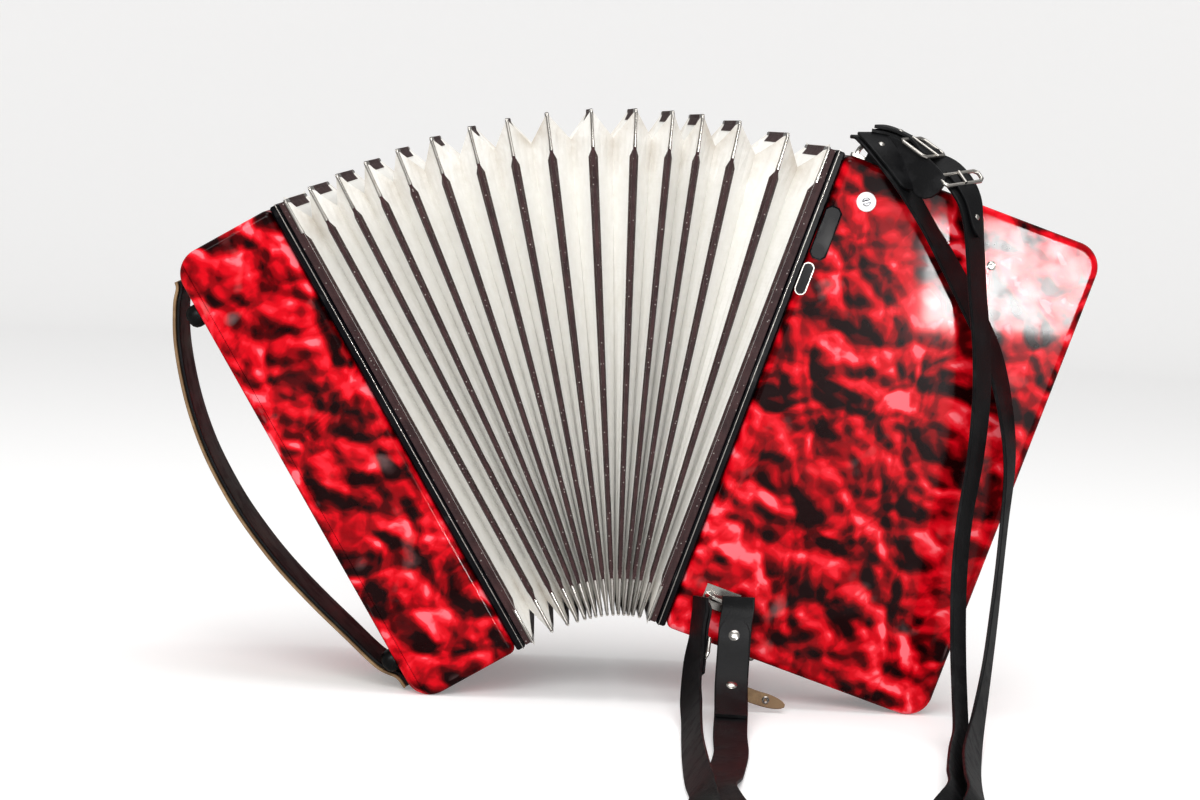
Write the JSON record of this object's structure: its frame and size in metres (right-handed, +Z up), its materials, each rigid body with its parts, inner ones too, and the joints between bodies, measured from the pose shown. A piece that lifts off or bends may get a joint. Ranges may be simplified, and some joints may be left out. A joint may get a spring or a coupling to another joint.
{
  "type": "piano accordion",
  "caption": "Small piano accordion with its bellows fanned open, standing on its lower edges, with hand strap and shoulder straps.",
  "frame": {"origin": "middle of the part's footprint box, on the surface it stands on", "axes": "+Z up, +X from the bass side to the treble side, +Y from the player's side to the keyboard side"},
  "size_m": [0.5636, 0.527, 0.3646],
  "materials": {
    "red_pearloid": "polished pearl-marbled celluloid",
    "black_gloss": "polished",
    "ivory_plastic": "polished",
    "black_key_plastic": "satin",
    "cream_cloth": "woven, matte",
    "maroon_tape": "fine-grained tape",
    "chrome": "bright nickel",
    "steel": "drawn",
    "black_leather": "grained",
    "spruce": "planed"
  },
  "bodies": {
    "treble_side": {"treble_casing": "red_pearloid", "treble_grille": "red_pearloid", "key_axle": "steel", "treble_bellows_frame": "black_gloss", "treble_reed_block": "spruce", "upper_strap_bracket": "chrome", "lower_strap_bracket": "chrome", "shoulder_strap_1": "black_leather", "shoulder_strap_2": "black_leather", "bellows_skin": "cream_cloth"},
    "bass_side": {"bass_casing": "red_pearloid", "bass_end_cover": "red_pearloid", "bass_bellows_frame": "black_gloss", "bass_reed_block": "spruce", "hand_strap": "black_leather"},
    "ridge_01_body": {"ridge_01": "maroon_tape"},
    "ridge_02_body": {"ridge_02": "maroon_tape"},
    "ridge_03_body": {"ridge_03": "maroon_tape"},
    "ridge_04_body": {"ridge_04": "maroon_tape"},
    "ridge_05_body": {"ridge_05": "maroon_tape"},
    "ridge_06_body": {"ridge_06": "maroon_tape"},
    "ridge_07_body": {"ridge_07": "maroon_tape"},
    "ridge_08_body": {"ridge_08": "maroon_tape"},
    "ridge_09_body": {"ridge_09": "maroon_tape"},
    "ridge_10_body": {"ridge_10": "maroon_tape"},
    "ridge_11_body": {"ridge_11": "maroon_tape"},
    "ridge_12_body": {"ridge_12": "maroon_tape"},
    "ridge_13_body": {"ridge_13": "maroon_tape"},
    "ridge_14_body": {"ridge_14": "maroon_tape"},
    "white_key_01_body": {"white_key_01": "ivory_plastic"},
    "white_key_02_body": {"white_key_02": "ivory_plastic"},
    "white_key_03_body": {"white_key_03": "ivory_plastic"},
    "white_key_04_body": {"white_key_04": "ivory_plastic"},
    "white_key_05_body": {"white_key_05": "ivory_plastic"},
    "white_key_06_body": {"white_key_06": "ivory_plastic"},
    "white_key_07_body": {"white_key_07": "ivory_plastic"},
    "white_key_08_body": {"white_key_08": "ivory_plastic"},
    "white_key_09_body": {"white_key_09": "ivory_plastic"},
    "white_key_10_body": {"white_key_10": "ivory_plastic"},
    "white_key_11_body": {"white_key_11": "ivory_plastic"},
    "white_key_12_body": {"white_key_12": "ivory_plastic"},
    "white_key_13_body": {"white_key_13": "ivory_plastic"},
    "black_key_01_body": {"black_key_01": "black_key_plastic"},
    "black_key_02_body": {"black_key_02": "black_key_plastic"},
    "black_key_03_body": {"black_key_03": "black_key_plastic"},
    "black_key_04_body": {"black_key_04": "black_key_plastic"},
    "black_key_05_body": {"black_key_05": "black_key_plastic"},
    "black_key_06_body": {"black_key_06": "black_key_plastic"},
    "black_key_07_body": {"black_key_07": "black_key_plastic"},
    "black_key_08_body": {"black_key_08": "black_key_plastic"},
    "black_key_09_body": {"black_key_09": "black_key_plastic"},
    "bass_button_1_body": {"bass_button_1": "ivory_plastic"},
    "bass_button_2_body": {"bass_button_2": "ivory_plastic"},
    "bass_button_3_body": {"bass_button_3": "ivory_plastic"},
    "bass_button_4_body": {"bass_button_4": "ivory_plastic"},
    "bass_button_5_body": {"bass_button_5": "ivory_plastic"},
    "bass_button_6_body": {"bass_button_6": "ivory_plastic"},
    "bass_button_7_body": {"bass_button_7": "ivory_plastic"},
    "bass_button_8_body": {"bass_button_8": "ivory_plastic"},
    "air_button_body": {"air_button": "ivory_plastic"}
  },
  "joints": [
    {"name": "bellows_fan", "type": "hinge", "parent": "treble_side", "child": "bass_side", "pos_m": [-0.00692, 0.09351, 0.02779], "axis": [0, 1, 0], "range_deg": [-8, 49.6], "deforming": ["bellows_skin"]},
    {"name": "ridge_01_turn", "type": "hinge", "parent": "treble_side", "child": "ridge_01_body", "pos_m": [0.00606, 0.09351, 0.01452], "axis": [0, 1, 0], "range_deg": [-0.71, 3.87]},
    {"name": "ridge_02_turn", "type": "hinge", "parent": "treble_side", "child": "ridge_02_body", "pos_m": [0.00908, 0.09351, 0.03162], "axis": [0, 1, 0], "range_deg": [-1.48, 8.68]},
    {"name": "ridge_03_turn", "type": "hinge", "parent": "treble_side", "child": "ridge_03_body", "pos_m": [0.0099, 0.09351, 0.04134], "axis": [0, 1, 0], "range_deg": [-2.08, 12.4]},
    {"name": "ridge_04_turn", "type": "hinge", "parent": "treble_side", "child": "ridge_04_body", "pos_m": [0.00976, 0.09351, 0.04626], "axis": [0, 1, 0], "range_deg": [-2.55, 15.28]},
    {"name": "ridge_05_turn", "type": "hinge", "parent": "treble_side", "child": "ridge_05_body", "pos_m": [0.0086, 0.09351, 0.04859], "axis": [0, 1, 0], "range_deg": [-3.12, 18.85]},
    {"name": "ridge_06_turn", "type": "hinge", "parent": "treble_side", "child": "ridge_06_body", "pos_m": [0.00679, 0.09351, 0.05032], "axis": [0, 1, 0], "range_deg": [-3.84, 23.26]},
    {"name": "ridge_07_turn", "type": "hinge", "parent": "treble_side", "child": "ridge_07_body", "pos_m": [0.0048, 0.09351, 0.0511], "axis": [0, 1, 0], "range_deg": [-4.54, 27.63]},
    {"name": "ridge_08_turn", "type": "hinge", "parent": "treble_side", "child": "ridge_08_body", "pos_m": [0.0029, 0.09351, 0.05164], "axis": [0, 1, 0], "range_deg": [-5.17, 31.55]},
    {"name": "ridge_09_turn", "type": "hinge", "parent": "treble_side", "child": "ridge_09_body", "pos_m": [0.00101, 0.09351, 0.05219], "axis": [0, 1, 0], "range_deg": [-5.76, 35.22]},
    {"name": "ridge_10_turn", "type": "hinge", "parent": "treble_side", "child": "ridge_10_body", "pos_m": [-0.00102, 0.09351, 0.05277], "axis": [0, 1, 0], "range_deg": [-6.38, 39.04]},
    {"name": "ridge_11_turn", "type": "hinge", "parent": "treble_side", "child": "ridge_11_body", "pos_m": [-0.00299, 0.09351, 0.05311], "axis": [0, 1, 0], "range_deg": [-6.93, 42.46]},
    {"name": "ridge_12_turn", "type": "hinge", "parent": "treble_side", "child": "ridge_12_body", "pos_m": [-0.0049, 0.09351, 0.0516], "axis": [0, 1, 0], "range_deg": [-7.4, 45.38]},
    {"name": "ridge_13_turn", "type": "hinge", "parent": "treble_side", "child": "ridge_13_body", "pos_m": [-0.00658, 0.09351, 0.04821], "axis": [0, 1, 0], "range_deg": [-7.78, 47.72]},
    {"name": "ridge_14_turn", "type": "hinge", "parent": "treble_side", "child": "ridge_14_body", "pos_m": [-0.0075, 0.09351, 0.03984], "axis": [0, 1, 0], "range_deg": [-8.01, 49.15]},
    {"name": "white_key_01_press", "type": "hinge", "parent": "treble_side", "child": "white_key_01_body", "pos_m": [0.09521, 0.15281, 0.06001], "axis": [-0.3107, 0, -0.9505], "range_deg": [0, 2.17], "stiffness_Nm_per_rad": 0.8, "springref_deg": -3.44},
    {"name": "white_key_02_press", "type": "hinge", "parent": "treble_side", "child": "white_key_02_body", "pos_m": [0.1016, 0.15281, 0.07955], "axis": [-0.3107, 0, -0.9505], "range_deg": [0, 2.17], "stiffness_Nm_per_rad": 0.8, "springref_deg": -3.44},
    {"name": "white_key_03_press", "type": "hinge", "parent": "treble_side", "child": "white_key_03_body", "pos_m": [0.10798, 0.15281, 0.09909], "axis": [-0.3107, 0, -0.9505], "range_deg": [0, 2.17], "stiffness_Nm_per_rad": 0.8, "springref_deg": -3.44},
    {"name": "white_key_04_press", "type": "hinge", "parent": "treble_side", "child": "white_key_04_body", "pos_m": [0.11437, 0.15281, 0.11862], "axis": [-0.3107, 0, -0.9505], "range_deg": [0, 2.17], "stiffness_Nm_per_rad": 0.8, "springref_deg": -3.44},
    {"name": "white_key_05_press", "type": "hinge", "parent": "treble_side", "child": "white_key_05_body", "pos_m": [0.12075, 0.15281, 0.13816], "axis": [-0.3107, 0, -0.9505], "range_deg": [0, 2.17], "stiffness_Nm_per_rad": 0.8, "springref_deg": -3.44},
    {"name": "white_key_06_press", "type": "hinge", "parent": "treble_side", "child": "white_key_06_body", "pos_m": [0.12714, 0.15281, 0.1577], "axis": [-0.3107, 0, -0.9505], "range_deg": [0, 2.17], "stiffness_Nm_per_rad": 0.8, "springref_deg": -3.44},
    {"name": "white_key_07_press", "type": "hinge", "parent": "treble_side", "child": "white_key_07_body", "pos_m": [0.13352, 0.15281, 0.17723], "axis": [-0.3107, 0, -0.9505], "range_deg": [0, 2.17], "stiffness_Nm_per_rad": 0.8, "springref_deg": -3.44},
    {"name": "white_key_08_press", "type": "hinge", "parent": "treble_side", "child": "white_key_08_body", "pos_m": [0.13991, 0.15281, 0.19677], "axis": [-0.3107, 0, -0.9505], "range_deg": [0, 2.17], "stiffness_Nm_per_rad": 0.8, "springref_deg": -3.44},
    {"name": "white_key_09_press", "type": "hinge", "parent": "treble_side", "child": "white_key_09_body", "pos_m": [0.14629, 0.15281, 0.21631], "axis": [-0.3107, 0, -0.9505], "range_deg": [0, 2.17], "stiffness_Nm_per_rad": 0.8, "springref_deg": -3.44},
    {"name": "white_key_10_press", "type": "hinge", "parent": "treble_side", "child": "white_key_10_body", "pos_m": [0.15268, 0.15281, 0.23584], "axis": [-0.3107, 0, -0.9505], "range_deg": [0, 2.17], "stiffness_Nm_per_rad": 0.8, "springref_deg": -3.44},
    {"name": "white_key_11_press", "type": "hinge", "parent": "treble_side", "child": "white_key_11_body", "pos_m": [0.15907, 0.15281, 0.25538], "axis": [-0.3107, 0, -0.9505], "range_deg": [0, 2.17], "stiffness_Nm_per_rad": 0.8, "springref_deg": -3.44},
    {"name": "white_key_12_press", "type": "hinge", "parent": "treble_side", "child": "white_key_12_body", "pos_m": [0.16545, 0.15281, 0.27492], "axis": [-0.3107, 0, -0.9505], "range_deg": [0, 2.17], "stiffness_Nm_per_rad": 0.8, "springref_deg": -3.44},
    {"name": "white_key_13_press", "type": "hinge", "parent": "treble_side", "child": "white_key_13_body", "pos_m": [0.17184, 0.15281, 0.29445], "axis": [-0.3107, 0, -0.9505], "range_deg": [0, 2.17], "stiffness_Nm_per_rad": 0.8, "springref_deg": -3.44},
    {"name": "black_key_01_press", "type": "hinge", "parent": "treble_side", "child": "black_key_01_body", "pos_m": [0.0984, 0.15281, 0.06978], "axis": [-0.3107, 0, -0.9505], "range_deg": [0, 3.2], "stiffness_Nm_per_rad": 0.8, "springref_deg": -3.44},
    {"name": "black_key_02_press", "type": "hinge", "parent": "treble_side", "child": "black_key_02_body", "pos_m": [0.10479, 0.15281, 0.08932], "axis": [-0.3107, 0, -0.9505], "range_deg": [0, 3.2], "stiffness_Nm_per_rad": 0.8, "springref_deg": -3.44},
    {"name": "black_key_03_press", "type": "hinge", "parent": "treble_side", "child": "black_key_03_body", "pos_m": [0.11756, 0.15281, 0.12839], "axis": [-0.3107, 0, -0.9505], "range_deg": [0, 3.2], "stiffness_Nm_per_rad": 0.8, "springref_deg": -3.44},
    {"name": "black_key_04_press", "type": "hinge", "parent": "treble_side", "child": "black_key_04_body", "pos_m": [0.12394, 0.15281, 0.14793], "axis": [-0.3107, 0, -0.9505], "range_deg": [0, 3.2], "stiffness_Nm_per_rad": 0.8, "springref_deg": -3.44},
    {"name": "black_key_05_press", "type": "hinge", "parent": "treble_side", "child": "black_key_05_body", "pos_m": [0.13033, 0.15281, 0.16746], "axis": [-0.3107, 0, -0.9505], "range_deg": [0, 3.2], "stiffness_Nm_per_rad": 0.8, "springref_deg": -3.44},
    {"name": "black_key_06_press", "type": "hinge", "parent": "treble_side", "child": "black_key_06_body", "pos_m": [0.1431, 0.15281, 0.20654], "axis": [-0.3107, 0, -0.9505], "range_deg": [0, 3.2], "stiffness_Nm_per_rad": 0.8, "springref_deg": -3.44},
    {"name": "black_key_07_press", "type": "hinge", "parent": "treble_side", "child": "black_key_07_body", "pos_m": [0.14949, 0.15281, 0.22607], "axis": [-0.3107, 0, -0.9505], "range_deg": [0, 3.2], "stiffness_Nm_per_rad": 0.8, "springref_deg": -3.44},
    {"name": "black_key_08_press", "type": "hinge", "parent": "treble_side", "child": "black_key_08_body", "pos_m": [0.16226, 0.15281, 0.26515], "axis": [-0.3107, 0, -0.9505], "range_deg": [0, 3.2], "stiffness_Nm_per_rad": 0.8, "springref_deg": -3.44},
    {"name": "black_key_09_press", "type": "hinge", "parent": "treble_side", "child": "black_key_09_body", "pos_m": [0.16864, 0.15281, 0.28468], "axis": [-0.3107, 0, -0.9505], "range_deg": [0, 3.2], "stiffness_Nm_per_rad": 0.8, "springref_deg": -3.44},
    {"name": "bass_button_1_press", "type": "slide", "parent": "bass_side", "child": "bass_button_1_body", "axis": [0.8526, 0, 0.5225], "range_m": [0, 0.0035], "stiffness_N_per_m": 150, "springref_m": -0.005},
    {"name": "bass_button_2_press", "type": "slide", "parent": "bass_side", "child": "bass_button_2_body", "axis": [0.8526, 0, 0.5225], "range_m": [0, 0.0035], "stiffness_N_per_m": 150, "springref_m": -0.005},
    {"name": "bass_button_3_press", "type": "slide", "parent": "bass_side", "child": "bass_button_3_body", "axis": [0.8526, 0, 0.5225], "range_m": [0, 0.0035], "stiffness_N_per_m": 150, "springref_m": -0.005},
    {"name": "bass_button_4_press", "type": "slide", "parent": "bass_side", "child": "bass_button_4_body", "axis": [0.8526, 0, 0.5225], "range_m": [0, 0.0035], "stiffness_N_per_m": 150, "springref_m": -0.005},
    {"name": "bass_button_5_press", "type": "slide", "parent": "bass_side", "child": "bass_button_5_body", "axis": [0.8526, 0, 0.5225], "range_m": [0, 0.0035], "stiffness_N_per_m": 150, "springref_m": -0.005},
    {"name": "bass_button_6_press", "type": "slide", "parent": "bass_side", "child": "bass_button_6_body", "axis": [0.8526, 0, 0.5225], "range_m": [0, 0.0035], "stiffness_N_per_m": 150, "springref_m": -0.005},
    {"name": "bass_button_7_press", "type": "slide", "parent": "bass_side", "child": "bass_button_7_body", "axis": [0.8526, 0, 0.5225], "range_m": [0, 0.0035], "stiffness_N_per_m": 150, "springref_m": -0.005},
    {"name": "bass_button_8_press", "type": "slide", "parent": "bass_side", "child": "bass_button_8_body", "axis": [0.8526, 0, 0.5225], "range_m": [0, 0.0035], "stiffness_N_per_m": 150, "springref_m": -0.005},
    {"name": "air_button_press", "type": "slide", "parent": "bass_side", "child": "air_button_body", "axis": [0.8526, 0, 0.5225], "range_m": [0, 0.0035], "stiffness_N_per_m": 150, "springref_m": -0.005}
  ],
  "couplings": [
    {"joint": "ridge_01_turn", "follows": "bellows_fan", "ratio": 0.076},
    {"joint": "ridge_02_turn", "follows": "bellows_fan", "ratio": 0.173},
    {"joint": "ridge_03_turn", "follows": "bellows_fan", "ratio": 0.248},
    {"joint": "ridge_04_turn", "follows": "bellows_fan", "ratio": 0.306},
    {"joint": "ridge_05_turn", "follows": "bellows_fan", "ratio": 0.378},
    {"joint": "ridge_06_turn", "follows": "bellows_fan", "ratio": 0.467},
    {"joint": "ridge_07_turn", "follows": "bellows_fan", "ratio": 0.555},
    {"joint": "ridge_08_turn", "follows": "bellows_fan", "ratio": 0.634},
    {"joint": "ridge_09_turn", "follows": "bellows_fan", "ratio": 0.708},
    {"joint": "ridge_10_turn", "follows": "bellows_fan", "ratio": 0.785},
    {"joint": "ridge_11_turn", "follows": "bellows_fan", "ratio": 0.854},
    {"joint": "ridge_12_turn", "follows": "bellows_fan", "ratio": 0.913},
    {"joint": "ridge_13_turn", "follows": "bellows_fan", "ratio": 0.96},
    {"joint": "ridge_14_turn", "follows": "bellows_fan", "ratio": 0.989}
  ]
}
